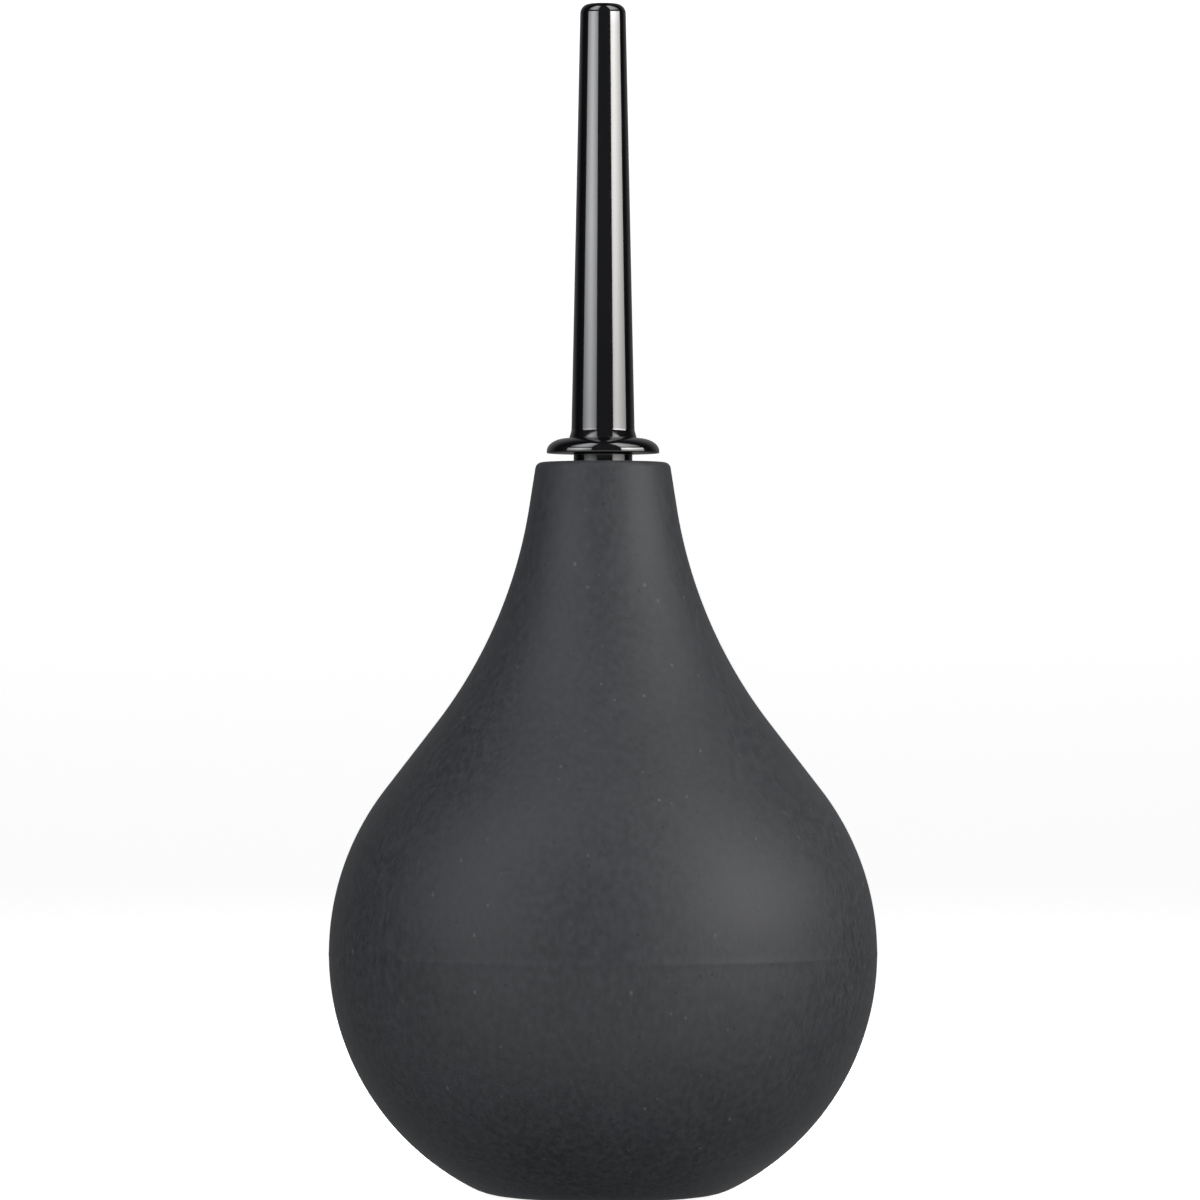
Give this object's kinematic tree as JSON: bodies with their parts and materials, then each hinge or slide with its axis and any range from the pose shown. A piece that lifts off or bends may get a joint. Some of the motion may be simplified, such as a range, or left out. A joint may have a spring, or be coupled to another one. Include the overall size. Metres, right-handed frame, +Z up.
{
  "type": "dust blower bulb",
  "caption": "Pear-shaped black rubber squeeze bulb on a flat base, with a slim tapered nozzle plugged into its neck and an air intake valve in the base, for blowing dust off small work.",
  "frame": {"origin": "middle of the base, on the surface that the bulb stands on", "axes": "+Z up along the bulb and the nozzle, which the whole part is turned about"},
  "size_m": [0.0802, 0.0802, 0.1738],
  "materials": {
    "bulb_rubber": "matte moulded rubber",
    "nozzle_plastic": "polished moulded plastic",
    "bush_plastic": "moulded plastic",
    "seal_rubber": "smooth nitrile rubber",
    "valve_plastic": "fine moulded satin plastic",
    "disc_silicone": "smooth silicone rubber",
    "filter_felt": "pressed wool felt"
  },
  "bodies": {
    "base": {"bulb": "bulb_rubber", "intake_valve_body": "valve_plastic", "intake_valve_cage": "valve_plastic", "dust_filter": "filter_felt", "filter_grille": "valve_plastic"},
    "neck": {"neck_bush": "bush_plastic"},
    "seal": {"nozzle_o_ring": "seal_rubber"},
    "nozzle": {"nozzle": "nozzle_plastic"},
    "valve_disc": {"intake_valve_disc": "disc_silicone"}
  },
  "joints": [
    {"name": "bulb_squeeze", "type": "slide", "parent": "base", "child": "neck", "axis": [0, 0, -1], "range_m": [0, 0.03], "stiffness_N_per_m": 1200, "deforming": ["bulb"]},
    {"name": "nozzle_pull", "type": "slide", "parent": "neck", "child": "seal", "axis": [0, 0, 1], "range_m": [0, 0.016]},
    {"name": "nozzle_turn", "type": "hinge", "parent": "seal", "child": "nozzle", "pos_m": [0, 0, 0.1], "axis": [0, 0, 1], "continuous": true},
    {"name": "valve_lift", "type": "slide", "parent": "base", "child": "valve_disc", "axis": [0, 0, 1], "range_m": [0, 0.0016]}
  ]
}
